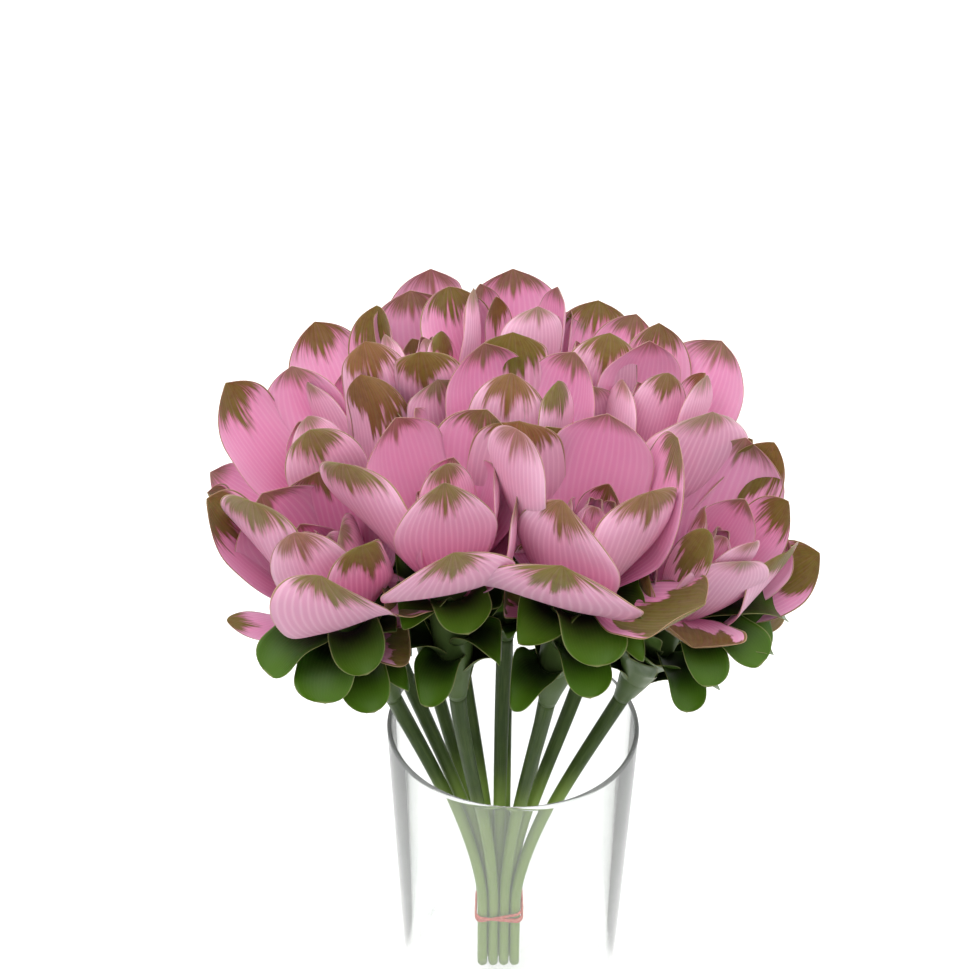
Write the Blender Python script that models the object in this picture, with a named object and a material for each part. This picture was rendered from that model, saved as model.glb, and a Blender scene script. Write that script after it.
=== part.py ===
# A tied bunch of eleven curcuma blooms standing in a straight clear glass vase.
# Each bloom has a round stem, a cone of green pouch bracts and a pink crown of pointed bracts.
# Metres, +Z up, the origin at the middle of the vase's flat underside, the front towards -Y.
import math

import bmesh
import bpy
import numpy as np

MM = 0.001

# vase, in mm
VASE_RIM_RADIUS = 50.0
VASE_FOOT_RADIUS = 47.5
VASE_HEIGHT = 150.0
VASE_WALL = 2.0
VASE_FLOOR = 10.5
VASE_SIDES = 44
VASE_FOOT_ROUND = 2.0
VASE_FOOT_CHAMFER = 0.6
VASE_INNER_ROUND = 5.0
LIP_EASE = 0.3

# stems and the rubber band round them, in mm
STEM_GAP = 0.3
STEM_RADIUS_LOW = 2.3
STEM_RADIUS_TOP = 3.1
STEM_SPACING = 4.95
STEM_RINGS = 8
STEM_SIDES = 6
BUNCH_X = -5.0
BUNCH_Y = 0.0
STRAIGHT_ABOVE_BAND = 5.0
BEND_SHARE = 0.3
BAND_HEIGHT = 41.0
BAND_THICKNESS = 0.65
BAND_SIDES = 5
BAND_STEPS = 18
BAND_CORNER = 0.5
BAND_LOOPS = [(5.0, 17.0, 0.6), (-6.0, 52.0, -0.8)]

# bloom heads, in mm: the green cone reaches CUP_TOP, the pink crown stands above it
CUP_TOP = 50.0
CUP_CORE = [(3.3, 0.0), (7.0, 14.0)]
CUP_TOP_RADIUS = 9.5
CROWN_CORE = [(9.0, 0.0), (6.5, 15.0), (1.0, 40.0)]
MID_HEIGHT = 68.0
CORE_SIDES = 6
BLADE = 0.9
BLADE_COLUMNS = 2
MIDRIB_STEPS = 40
PART_GAP = 0.35

# bract tiers: height and radius of the root, length, half width, the angle from the head's
# axis at the root and at the tip, and how late along the bract that bend comes
OUTER = dict(height=2.4, root=7.0, length=48.0, half=19.0, lean=66.0, tip_lean=15.0, bend=1.0)
INNER = dict(height=8.0, root=5.5, length=55.0, half=16.5, lean=37.0, tip_lean=6.0, bend=1.0)
HEART = dict(height=13.0, root=3.4, length=44.0, half=10.5, lean=19.0, tip_lean=2.0, bend=1.0)
LOW_GREEN = dict(height=2.5, root=2.8, length=26.0, half=10.0, lean=26.0, tip_lean=118.0, bend=2.0)
MID_GREEN = dict(height=12.0, root=4.6, length=29.0, half=11.0, lean=22.0, tip_lean=118.0, bend=2.0)
TOP_GREEN = dict(height=24.0, root=6.4, length=30.0, half=12.0, lean=24.0, tip_lean=112.0, bend=2.0)

# stations along a bract and its width there, as shares of the length and the half width
OUTER_STATIONS = [(0.0, 0.2), (0.3, 0.74), (0.62, 1.0), (0.87, 0.8), (1.0, 0.06)]
INNER_STATIONS = [(0.0, 0.2), (0.42, 0.9), (0.82, 0.92), (1.0, 0.06)]
POUCH_STATIONS = [(0.0, 0.3), (0.45, 1.0), (0.8, 1.0), (1.0, 0.6)]
GREEN_SHIFTS = (0.0, 90.0, 10.0)
ROOT_ARC = 42.0
TIP_ARC = 30.0

# how a bract gives way to the neighbouring heads
PRESS_FROM = 0.75
PRESS_ROUNDS = 4
PLANE_INSET = BLADE / 2 + 0.2

# each head: foot and crown centre in mm, the turn of its first green bract and how many it
# has in the low, middle and top round, then its outer, inner and heart bracts as
# (turn round the axis in degrees, extra opening in degrees, length factor)
HEADS = [
    dict(foot=(-21, -25, 181), crown=(-26, -45, 288), green_turn=-45, greens=(2, 2, 3),
         outer=[(-85, -12, 1.0), (150, -3, 1.0), (-15, -22, 1.0), (60, -10, 1.0)],
         inner=[(-80, -12, 1.0), (130, -6, 1.0), (50, 0, 1.0)],
         heart=[(-60, -6, 1.0), (60, 0, 1.0)]),
    dict(foot=(12, -21, 175), crown=(24, -50, 286), green_turn=-120, greens=(2, 2, 3),
         outer=[(135, 0, 1.1), (-122, -16, 1.0), (-45, 6, 0.9), (55, 0, 1.0)],
         inner=[(90, -6, 1.1), (20, 9, 1.2), (-140, -9, 1.0), (-25, -9, 1.0)],
         heart=[(-60, -12, 1.0), (60, 8, 1.0)]),
    dict(foot=(42, -6, 165), crown=(68, -45, 272), green_turn=-60, greens=(2, 2, 3),
         outer=[(28, 3, 1.0), (-5, 6, 1.0), (-135, -6, 1.0), (-70, 4, 0.9)],
         inner=[(75, 12, 1.1), (40, 6, 1.1), (-130, -12, 1.0), (-40, -8, 0.95)],
         heart=[(-60, 0, 1.0)]),
    dict(foot=(-46, -13, 171), crown=(-66, -53, 268), green_turn=-20, greens=(2, 2, 3),
         outer=[(147, 0, 1.2), (-12, -26, 1.0), (-60, -26, 1.05), (-125, -2, 1.0)],
         inner=[(135, -6, 0.9), (85, -3, 0.9), (-80, -20, 1.0)],
         heart=[(-20, -6, 1.0)]),
    dict(foot=(31.6, 2, 190.5), crown=(50, 3, 299), green_turn=35, greens=(1, 2, 2),
         outer=[(-80, -20, 1.1), (140, -12, 1.15), (0, 4, 1.0), (70, 0, 1.0)],
         inner=[(42, 3, 1.1), (120, -15, 1.0), (92, -4, 1.1)],
         heart=[(-95, -6, 1.0), (15, 6, 1.0)]),
    dict(foot=(-3.4, -2.8, 191), crown=(0, -10, 301), green_turn=-80, greens=(1, 2, 2),
         outer=[(-93, -22, 1.1), (10, -4, 1.0), (175, -2, 1.0), (85, -2, 1.0)],
         inner=[(120, 0, 1.0), (-105, -18, 1.0), (45, 3, 1.0)],
         heart=[(-25, 6, 1.0), (120, 0, 1.0)]),
    dict(foot=(-45.4, 2.5, 179.7), crown=(-73, -5, 286), green_turn=15, greens=(2, 2, 2),
         outer=[(150, 0, 1.1), (-163, 1, 1.1), (-90, -4, 1.0), (10, -8, 1.0)],
         inner=[(160, -2, 1.2), (100, 0, 1.1), (-68, -6, 1.0)],
         heart=[(-60, -6, 1.0), (120, 0, 1.0)]),
    dict(foot=(20.2, 19.5, 195), crown=(31, 32, 304), green_turn=40, greens=(1, 2, 2),
         outer=[(-90, -6, 1.0), (10, 0, 1.0), (120, -4, 1.0)],
         inner=[(145, 3, 1.05), (90, 3, 1.1), (50, -3, 1.0)],
         heart=[(0, 0, 1.0)]),
    dict(foot=(-2, 25.7, 202.4), crown=(0, 43, 311), green_turn=5, greens=(1, 2, 2),
         outer=[(40, -20, 1.15), (-85, -9, 1.1), (145, -6, 1.0)],
         inner=[(92, -9, 1.1), (25, -8, 1.0), (170, -6, 1.0)],
         heart=[(-40, 0, 1.0)]),
    dict(foot=(-23.9, 19, 198.4), crown=(-33, 34, 307), green_turn=25, greens=(1, 2, 2),
         outer=[(150, -6, 1.0), (-75, -2, 1.0), (60, -8, 1.0)],
         inner=[(112, -3, 1.1), (-90, 10, 0.9), (75, -9, 1.2), (-15, -8, 1.1)],
         heart=[(-50, 0, 1.0)]),
    dict(foot=(-39.2, 18.4, 187.9), crown=(-59, 23, 296), green_turn=55, greens=(1, 2, 2),
         outer=[(-68, -24, 1.1), (150, -4, 1.0), (60, -6, 1.0)],
         inner=[(122, 6, 1.15), (-62, -6, 1.1), (72, -3, 1.15)],
         heart=[(-30, 0, 1.0)]),
]

# where each stem passes the band: column and row of the close-packed bundle
BUNDLE_PLACES = [(-0.5, -1), (0.5, -1), (1.5, -1), (-1.5, -1), (1.0, 0), (0.0, 0), (-1.0, 0),
                 (1.5, 1), (0.5, 1), (-0.5, 1), (-1.5, 1)]


def clear_scene():
    for old in list(bpy.data.objects):
        bpy.data.objects.remove(old, do_unlink=True)


def make_material(name, color, roughness, metallic=0.0):
    material = bpy.data.materials.new(name)
    material.use_nodes = True
    shader = material.node_tree.nodes["Principled BSDF"]
    shader.inputs["Base Color"].default_value = (*color, 1.0)
    shader.inputs["Roughness"].default_value = roughness
    shader.inputs["Metallic"].default_value = metallic
    return material


def make_object(name, points, faces, material=None, smooth=False):
    mesh = bpy.data.meshes.new(name)
    mesh.from_pydata([tuple(p) for p in np.asarray(points) * MM], [], faces)
    mesh.update()
    if smooth:
        mesh.shade_smooth()
    result = bpy.data.objects.new(name, mesh)
    bpy.context.scene.collection.objects.link(result)
    if material:
        mesh.materials.append(material)
    return result


def unit(vector):
    return vector / np.linalg.norm(vector)


# the head's frame: two directions across and its axis, from the foot to the crown centre
def head_frame(head):
    foot = np.array(head["foot"], float)
    axis = unit(np.array(head["crown"], float) - foot)
    across = unit(np.array([1.0, 0, 0]) - axis[0] * axis)
    return foot, across, np.cross(axis, across), axis


def to_world(points, frame):
    foot, across, along, axis = frame
    return foot + points[..., :1] * across + points[..., 1:2] * along + points[..., 2:3] * axis


# planes that part a head from each neighbour: through the midpoint of the two crowns and
# along the mean of the two axes
def parting_planes(index, frames):
    planes = []
    foot, _, _, axis = frames[index]
    middle = foot + MID_HEIGHT * axis
    for other, (other_foot, _, _, other_axis) in enumerate(frames):
        if other == index:
            continue
        other_middle = other_foot + MID_HEIGHT * other_axis
        mean_axis = unit(axis + other_axis)
        normal = other_middle - middle
        normal = unit(normal - (normal @ mean_axis) * mean_axis)
        planes.append(((middle + other_middle) / 2, normal))
    return planes


# points past PRESS_FROM of the way to a parting plane are pressed back towards the axis
def press_into_cell(points, frame, planes):
    foot, _, _, axis = frame
    for _ in range(PRESS_ROUNDS):
        for point, normal in planes:
            on_axis = foot + ((points - foot) @ axis)[..., None] * axis
            reach = (point - on_axis) @ normal - PLANE_INSET
            out = (points - on_axis) @ normal
            start = PRESS_FROM * reach
            room = reach - start
            pressed = start + room * (1 - np.exp(-np.maximum(out - start, 0) / room))
            points = points - np.where(out > start, out - pressed, 0)[..., None] * normal
    return points


# a bract's middle surface in the head's frame: the midrib leans from lean to tip_lean over
# its length and the section at each station is an arc, hollow towards the axis
def bract_surface(tier, stations, spec):
    turn, opening, factor = spec
    s, width = np.array(stations).T
    t = np.linspace(-1, 1, BLADE_COLUMNS + 1)
    fine = np.linspace(0, 1, MIDRIB_STEPS + 1)
    lean = math.radians(tier["lean"] + 0.6 * opening)
    tip_lean = math.radians(tier["tip_lean"] + opening)
    angle = lean + (tip_lean - lean) * fine ** tier["bend"]
    step = tier["length"] * factor / MIDRIB_STEPS
    middle_angle = (angle[1:] + angle[:-1]) / 2
    radial = np.concatenate([[0], np.cumsum(np.sin(middle_angle)) * step])
    height = np.concatenate([[0], np.cumsum(np.cos(middle_angle)) * step])
    radial = np.interp(s, fine, radial) + tier["root"]
    height = np.interp(s, fine, height) + tier["height"]
    angle = np.interp(s, fine, angle)
    half = tier["half"] * width
    span = np.radians(ROOT_ARC + (TIP_ARC - ROOT_ARC) * s)[:, None]
    side = half[:, None] * np.sin(span * t) / span
    rise = half[:, None] * (1 - np.cos(span * t)) / span
    out = radial[:, None] - np.cos(angle)[:, None] * rise
    up = height[:, None] + np.sin(angle)[:, None] * rise
    around = math.radians(turn)
    x = out * math.cos(around) - side * math.sin(around)
    y = out * math.sin(around) + side * math.cos(around)
    return np.stack([x, y, up], axis=-1)


# a closed blade of even thickness round a middle surface, both faces split alike
def blade_solid(middle, thickness):
    along = np.gradient(middle, axis=0)
    across = np.gradient(middle, axis=1)
    normal = np.cross(along, across)
    normal = normal / np.linalg.norm(normal, axis=-1, keepdims=True)
    rows, columns = middle.shape[0], middle.shape[1]
    points = np.concatenate([(middle + normal * thickness / 2).reshape(-1, 3),
                             (middle - normal * thickness / 2).reshape(-1, 3)])
    count = rows * columns
    faces = []
    for i in range(rows - 1):
        for j in range(columns - 1):
            a = i * columns + j
            b, c, d = a + 1, a + columns + 1, a + columns
            faces += [(a, d, b), (b, d, c)]
            faces += [(a + count, b + count, d + count), (b + count, c + count, d + count)]
    edge = [j for j in range(columns)]
    edge += [i * columns + columns - 1 for i in range(1, rows)]
    edge += [(rows - 1) * columns + j for j in range(columns - 2, -1, -1)]
    edge += [i * columns for i in range(rows - 2, 0, -1)]
    for a, b in zip(edge, edge[1:] + edge[:1]):
        faces += [(a, b, a + count), (b, b + count, a + count)]
    return points, faces


# rings joined into a closed tube, each ring a row of points
def tube_solid(rings):
    sides = rings.shape[1]
    faces = []
    for i in range(rings.shape[0] - 1):
        for j in range(sides):
            a = i * sides + j
            b = i * sides + (j + 1) % sides
            faces += [(a, b, b + sides), (a, b + sides, a + sides)]
    last = (rings.shape[0] - 1) * sides
    for j in range(1, sides - 1):
        faces += [(0, j + 1, j), (last, last + j, last + j + 1)]
    return rings.reshape(-1, 3), faces


def core_solid(profile):
    turn = np.linspace(0, 2 * math.pi, CORE_SIDES, endpoint=False)
    rings = np.array([[(r * math.cos(a), r * math.sin(a), h) for a in turn] for r, h in profile])
    return tube_solid(rings)


# join the solids into one, drop loose scraps and inner shells
def join_solids(name, solids, material):
    group = bpy.data.collections.new(name + "_parts")
    bpy.context.scene.collection.children.link(group)
    first = make_object(name, *solids[0])
    for number, (points, faces) in enumerate(solids[1:]):
        piece = make_object(f"{name}_part{number}", points, faces)
        bpy.context.scene.collection.objects.unlink(piece)
        group.objects.link(piece)
    union = first.modifiers.new("join", "BOOLEAN")
    union.operation = "UNION"
    union.operand_type = "COLLECTION"
    union.collection = group
    union.solver = "MANIFOLD"
    graph = bpy.context.evaluated_depsgraph_get()
    mesh = bpy.data.meshes.new_from_object(first.evaluated_get(graph))
    first.modifiers.clear()
    first.data = mesh
    for piece in list(group.objects):
        bpy.data.objects.remove(piece, do_unlink=True)
    bpy.data.collections.remove(group)
    keep_main_shell(mesh)
    mesh.materials.clear()
    mesh.materials.append(material)
    return first


def keep_main_shell(mesh):
    shape = bmesh.new()
    shape.from_mesh(mesh)
    bmesh.ops.triangulate(shape, faces=shape.faces)
    shape.faces.ensure_lookup_table()
    seen = set()
    shells = []
    for start in shape.faces:
        if start.index in seen:
            continue
        shell = []
        queue = [start]
        seen.add(start.index)
        while queue:
            face = queue.pop()
            shell.append(face)
            for edge in face.edges:
                for near in edge.link_faces:
                    if near.index not in seen:
                        seen.add(near.index)
                        queue.append(near)
        shells.append(shell)
    main = max(shells, key=len)
    extra = [face for shell in shells if shell is not main for face in shell]
    if extra:
        bmesh.ops.delete(shape, geom=extra, context="FACES")
    shape.to_mesh(mesh)
    shape.free()


# the vase is a turned profile: foot, outer wall, rounded lip, inner wall, inner floor
def build_vase(material):
    lip = VASE_WALL / 2
    inner_foot = VASE_FOOT_RADIUS - VASE_WALL
    inner_rim = VASE_RIM_RADIUS - VASE_WALL
    corner = VASE_INNER_ROUND * (1 - math.sqrt(0.5))
    profile = [(0.0, 0.0), (VASE_FOOT_RADIUS - VASE_FOOT_ROUND, 0.0),
               (VASE_FOOT_RADIUS - VASE_FOOT_CHAMFER, VASE_FOOT_CHAMFER),
               (VASE_FOOT_RADIUS, VASE_FOOT_ROUND), (VASE_RIM_RADIUS, VASE_HEIGHT - lip),
               (VASE_RIM_RADIUS - LIP_EASE, VASE_HEIGHT - LIP_EASE),
               (VASE_RIM_RADIUS - lip, VASE_HEIGHT),
               (inner_rim + LIP_EASE, VASE_HEIGHT - LIP_EASE), (inner_rim, VASE_HEIGHT - lip),
               (inner_foot, VASE_FLOOR + VASE_INNER_ROUND),
               (inner_foot - corner, VASE_FLOOR + corner),
               (inner_foot - VASE_INNER_ROUND, VASE_FLOOR), (0.0, VASE_FLOOR)]
    turn = np.linspace(0, 2 * math.pi, VASE_SIDES, endpoint=False)
    points = [(0.0, 0.0, 0.0), (0.0, 0.0, VASE_FLOOR)]
    faces = []
    for r, h in profile[1:-1]:
        points += [(r * math.cos(a), r * math.sin(a), h) for a in turn]
    rings = len(profile) - 2
    for j in range(VASE_SIDES):
        k = (j + 1) % VASE_SIDES
        faces.append((0, 2 + k, 2 + j))
        for i in range(rings - 1):
            low = 2 + i * VASE_SIDES
            high = low + VASE_SIDES
            faces.append((low + j, low + k, high + k, high + j))
        top = 2 + (rings - 1) * VASE_SIDES
        faces.append((1, top + j, top + k))
    return make_object("vase", points, faces, material, smooth=True)


# a stem runs straight up through the band, then bends to meet its head's foot squarely
def stem_path(index, frame, steps):
    foot, _, _, axis = frame
    column, row = BUNDLE_PLACES[index]
    x = BUNCH_X + column * STEM_SPACING
    y = BUNCH_Y + row * STEM_SPACING * math.sqrt(3) / 2
    low = np.array([x, y, VASE_FLOOR + STEM_GAP])
    tied = np.array([x, y, BAND_HEIGHT + STRAIGHT_ABOVE_BAND])
    top = foot - axis * STEM_GAP
    s = np.linspace(0, 1, steps - 1)[:, None]
    handle = np.linalg.norm(top - tied) * BEND_SHARE
    handle_low = tied + np.array([0.0, 0.0, handle])
    handle_top = top - axis * handle
    curve = ((1 - s) ** 3 * tied + 3 * (1 - s) ** 2 * s * handle_low
             + 3 * (1 - s) * s ** 2 * handle_top + s ** 3 * top)
    return np.vstack([low, curve])


def build_stem(index, frame, material):
    path = stem_path(index, frame, STEM_RINGS)
    tangent = np.gradient(path, axis=0)
    tangent[0] = (0, 0, 1)
    tangent[1] = (0, 0, 1)
    tangent[-1] = frame[3]
    tangent = tangent / np.linalg.norm(tangent, axis=1, keepdims=True)
    side = np.cross(tangent, (0.0, 1.0, 0.0))
    side = side / np.linalg.norm(side, axis=1, keepdims=True)
    back = np.cross(tangent, side)
    rise = np.clip((path[:, 2] - BAND_HEIGHT) / (path[-1, 2] - BAND_HEIGHT), 0, 1)
    radius = STEM_RADIUS_LOW + (STEM_RADIUS_TOP - STEM_RADIUS_LOW) * rise
    turn = np.linspace(0, 2 * math.pi, STEM_SIDES, endpoint=False)
    rings = path[:, None] + radius[:, None, None] * (
        np.cos(turn)[None, :, None] * side[:, None] + np.sin(turn)[None, :, None] * back[:, None])
    points, faces = tube_solid(rings)
    return make_object(f"stem_{index + 1:02d}", points, faces, material, smooth=True)


# the band's loops follow the outline of the packed stems, each tilted a little: the outline
# lies at its support distance along each direction, moved sideways by the support's slope
def band_loop(tilt, turn_of_tilt, height):
    tilt = math.radians(tilt)
    turn_of_tilt = math.radians(turn_of_tilt)
    reach = STEM_RADIUS_LOW + STEM_GAP + BAND_THICKNESS
    centres = np.array([(c * STEM_SPACING, r * STEM_SPACING * math.sqrt(3) / 2)
                        for c, r in BUNDLE_PLACES])
    turn = np.linspace(0, 2 * math.pi, BAND_STEPS, endpoint=False)
    way = np.stack([np.cos(turn), np.sin(turn)], axis=1)
    support = (centres @ way.T).max(axis=0) + reach
    slope = (np.roll(support, -1) - np.roll(support, 1)) / (2 * (turn[1] - turn[0]))
    across = np.stack([-way[:, 1], way[:, 0]], axis=1)
    flat = way * support[:, None] + across * slope[:, None] * BAND_CORNER
    lift = height + math.tan(tilt) * (flat[:, 0] * math.cos(turn_of_tilt)
                                    + flat[:, 1] * math.sin(turn_of_tilt))
    path = np.column_stack([flat[:, 0] + BUNCH_X, flat[:, 1] + BUNCH_Y, lift])
    around = np.linspace(0, 2 * math.pi, BAND_SIDES, endpoint=False)
    outward = np.column_stack([way, np.zeros(BAND_STEPS)])
    rings = path[:, None] + BAND_THICKNESS * (
        np.cos(around)[None, :, None] * outward[:, None]
        + np.sin(around)[None, :, None] * np.array([0.0, 0.0, 1.0]))
    points = rings.reshape(-1, 3)
    faces = []
    for i in range(BAND_STEPS):
        k = (i + 1) % BAND_STEPS
        for j in range(BAND_SIDES):
            m = (j + 1) % BAND_SIDES
            a, b = i * BAND_SIDES + j, i * BAND_SIDES + m
            c, d = k * BAND_SIDES + m, k * BAND_SIDES + j
            faces += [(a, d, c), (a, c, b)]
    return points, faces


def build_band(material):
    loops = [band_loop(tilt, turn, BAND_HEIGHT + lift) for tilt, turn, lift in BAND_LOOPS]
    band = join_solids("rubber_band", loops, material)
    band.data.shade_smooth()
    return band


def head_blade(tier, stations, spec, frame, planes):
    middle = to_world(bract_surface(tier, stations, spec), frame)
    return blade_solid(press_into_cell(middle, frame, planes), BLADE)


# keep every point on its own side of the level that parts cup from crown
def hold_level(solids, frame, low, high):
    foot, _, _, axis = frame
    held = []
    for points, faces in solids:
        height = (points - foot) @ axis
        wanted = np.clip(height, low, high)
        held.append((points + (wanted - height)[:, None] * axis, faces))
    return held


def build_crown(index, head, frame, planes, material):
    level = CUP_TOP + PART_GAP / 2
    core = core_solid([(radius, level + height) for radius, height in CROWN_CORE])
    solids = [(to_world(np.array(core[0]), frame), core[1])]
    tiers = [(OUTER, OUTER_STATIONS, head["outer"]), (INNER, INNER_STATIONS, head["inner"]),
             (HEART, INNER_STATIONS, head["heart"])]
    for tier, stations, specs in tiers:
        placed = dict(tier, height=tier["height"] + CUP_TOP)
        for spec in specs:
            solids.append(head_blade(placed, stations, spec, frame, planes))
    solids = hold_level(solids, frame, level, None)
    return join_solids(f"crown_{index + 1:02d}", solids, material)


def build_cup(index, head, frame, planes, material):
    level = CUP_TOP - PART_GAP / 2
    core = core_solid(CUP_CORE + [(CUP_TOP_RADIUS, level)])
    solids = [(to_world(np.array(core[0]), frame), core[1])]
    rounds = zip((LOW_GREEN, MID_GREEN, TOP_GREEN), head["greens"], GREEN_SHIFTS)
    for tier, count, shift in rounds:
        for number in range(count):
            turn = head["green_turn"] + shift + 360.0 * number / count
            solids.append(head_blade(tier, POUCH_STATIONS, (turn, 0.0, 1.0), frame, planes))
    solids = hold_level(solids, frame, 0.0, level)
    return join_solids(f"cup_{index + 1:02d}", solids, material)


def main():
    clear_scene()
    glass = make_material("glass", (0.9, 0.95, 0.95), 0.05)
    rubber = make_material("rubber", (0.72, 0.23, 0.17), 0.55)
    stem_green = make_material("stem_green", (0.12, 0.22, 0.05), 0.5)
    cup_green = make_material("cup_green", (0.07, 0.16, 0.02), 0.5)
    crown_pink = make_material("crown_pink", (0.65, 0.22, 0.44), 0.5)
    build_vase(glass)
    build_band(rubber)
    frames = [head_frame(head) for head in HEADS]
    for index, head in enumerate(HEADS):
        planes = parting_planes(index, frames)
        build_stem(index, frames[index], stem_green)
        build_cup(index, head, frames[index], planes, cup_green)
        build_crown(index, head, frames[index], planes, crown_pink)
    total = 0
    for piece in bpy.data.objects:
        piece.data.calc_loop_triangles()
        total += len(piece.data.loop_triangles)
    print("triangles in all", total)


main()
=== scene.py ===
# A tied bunch of eleven curcuma blooms in a straight clear glass vase.
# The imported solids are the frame; every piece here is a fine surface in the same place.
import math

import bpy
import numpy as np
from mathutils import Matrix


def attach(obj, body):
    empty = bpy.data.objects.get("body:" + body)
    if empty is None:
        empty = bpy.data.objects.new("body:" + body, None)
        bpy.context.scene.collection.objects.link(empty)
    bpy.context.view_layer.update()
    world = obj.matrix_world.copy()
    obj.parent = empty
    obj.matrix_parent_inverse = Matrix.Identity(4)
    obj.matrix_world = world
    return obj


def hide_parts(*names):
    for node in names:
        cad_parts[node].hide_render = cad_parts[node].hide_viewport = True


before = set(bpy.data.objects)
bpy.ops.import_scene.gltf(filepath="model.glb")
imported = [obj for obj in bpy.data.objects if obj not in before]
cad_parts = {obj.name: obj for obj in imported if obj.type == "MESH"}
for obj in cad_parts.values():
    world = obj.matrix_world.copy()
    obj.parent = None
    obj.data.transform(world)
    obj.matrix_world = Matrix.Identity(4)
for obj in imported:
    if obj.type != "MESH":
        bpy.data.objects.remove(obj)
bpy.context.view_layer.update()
mm = 0.001


# small helpers

def unit(vector):
    # a vector, or each row of an array, at length 1
    return vector / np.linalg.norm(vector, axis=-1, keepdims=True)


def smooth(low, high, x):
    # an S-shaped step from 0 at low to 1 at high
    x = np.clip((x - low) / (high - low), 0, 1)
    return x * x * (3 - 2 * x)


def paint(red, green, blue):
    # a screen colour as the linear colour that shaders take
    return [c / 12.92 if c <= 0.04045 else ((c + 0.055) / 1.055) ** 2.4
            for c in (red, green, blue)] + [1.0]


def addObject(name, data):
    thing = bpy.data.objects.new(name, data)
    bpy.context.scene.collection.objects.link(thing)
    return thing


def makePiece(name, points, quads, material, node, uv=None, marks=None):
    # one finished piece from its points in mm, its faces, its UV per point and its marks
    mesh = bpy.data.meshes.new(name)
    points = np.asarray(points, dtype=np.float32) * mm
    quads = np.asarray(quads, dtype=np.int32)
    mesh.vertices.add(len(points))
    mesh.vertices.foreach_set("co", points.ravel())
    mesh.loops.add(quads.size)
    mesh.loops.foreach_set("vertex_index", quads.ravel())
    mesh.polygons.add(len(quads))
    starts = np.arange(0, quads.size, quads.shape[1], dtype=np.int32)
    mesh.polygons.foreach_set("loop_start", starts)
    mesh.update(calc_edges=True)
    mesh.shade_smooth()
    if uv is not None:
        layer = mesh.uv_layers.new(name="bractMap")
        layer.data.foreach_set("uv", uv.astype(np.float32)[quads.ravel()].ravel())
    for label, values in (marks or {}).items():
        layer = mesh.attributes.new(label, "FLOAT", "POINT")
        layer.data.foreach_set("value", np.asarray(values, dtype=np.float32))
    mesh.materials.append(material)
    piece = addObject(name, mesh)
    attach(piece, "root")
    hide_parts(node)


# camera, floor and light

cameraValues = {
    "place": (-0.01124, -0.3076, 0.4067),  # metres, in front of and above the bunch
    "pitchDown": 26.5,
    "lens": 36.33,
    "sensor": 36.0,
}

studioValues = {
    "floor": (0.98, 0.98, 0.98),
    "floorBounce": (0.62, 0.62, 0.62),  # what the floor throws back on to the bunch
    "floorHalf": 90.0,  # metres, so that its edge is out of view
    "finish": {"Roughness": 0.9, "Specular IOR Level": 0.1},
    "backdrop": 1.05,
    "zenith": 1.9,
    "horizon": 0.75,
    "aim": (0, 0, 0.2),  # where the lamps point
    "lamps": {"keyLight": ((-0.5, -0.35, 1.25), 0.9, 3.0),  # place, width and power
              "fillLight": ((0.9, -0.8, 0.7), 0.8, 0.8)},
}


def buildCamera():
    lens = bpy.data.cameras.new("viewCamera")
    lens.sensor_width = cameraValues["sensor"]
    lens.lens = cameraValues["lens"]
    lens.clip_start = 0.01
    viewer = addObject("viewCamera", lens)
    viewer.location = cameraValues["place"]
    viewer.rotation_euler = (math.radians(90 - cameraValues["pitchDown"]), 0, 0)
    bpy.context.scene.camera = viewer


def softBox(name, place, size, power):
    light = bpy.data.lights.new(name, "AREA")
    light.shape = "DISK"
    light.size = size
    light.energy = power
    lamp = addObject(name, light)
    lamp.location = place
    away = unit(np.array(place) - np.array(studioValues["aim"]))
    lamp.rotation_euler = (math.acos(away[2]), 0, math.atan2(away[1], away[0]) + math.pi / 2)


def buildSky():
    # brighter overhead than at the sides, as under a wide soft box; the view sees it white
    sky = bpy.data.worlds.new("studioSky")
    sky.use_nodes = True
    tree = sky.node_tree
    back = tree.nodes["Background"]
    back.inputs["Color"].default_value = (1, 1, 1, 1)
    way = put(tree, "TexCoord").outputs["Generated"]
    up = put(tree, "SeparateXYZ", i0=way).outputs[2]
    strength = ramp(tree, up, 0.0, 0.9, studioValues["horizon"], studioValues["zenith"])
    path = put(tree, "LightPath").outputs
    seen = sums(tree, "MAXIMUM", path["Is Transmission Ray"], path["Is Glossy Ray"])
    seen = sums(tree, "MAXIMUM", path["Is Camera Ray"], seen)
    strength = put(tree, "MapRange", i0=seen, i3=strength,
                   i4=studioValues["backdrop"]).outputs[0]
    tree.links.new(strength, back.inputs["Strength"])
    return sky


def buildStudio():
    scene = bpy.context.scene
    scene.world = buildSky()
    scene.view_settings.view_transform = "Standard"
    for name, (place, size, power) in studioValues["lamps"].items():
        softBox(name, place, size, power)
    # the floor is a flat sheet that runs out past the view
    material, tree, shader = newMaterial("paleFloor")
    bounced = put(tree, "LightPath").outputs["Is Diffuse Ray"]
    color = blend(tree, bounced, studioValues["floor"], studioValues["floorBounce"])
    dress(tree, shader, studioValues, color)
    half = studioValues["floorHalf"]
    mesh = bpy.data.meshes.new("floor")
    mesh.from_pydata([(x * half, y * half, 0.0) for x, y in
                      ((-1, -1), (1, -1), (1, 1), (-1, 1))], [], [(0, 1, 2, 3)])
    mesh.materials.append(material)
    floor = addObject("floor", mesh)


# shader building

def newMaterial(name):
    material = bpy.data.materials.new(name)
    material.use_nodes = True
    tree = material.node_tree
    return material, tree, tree.nodes["Principled BSDF"]


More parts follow.
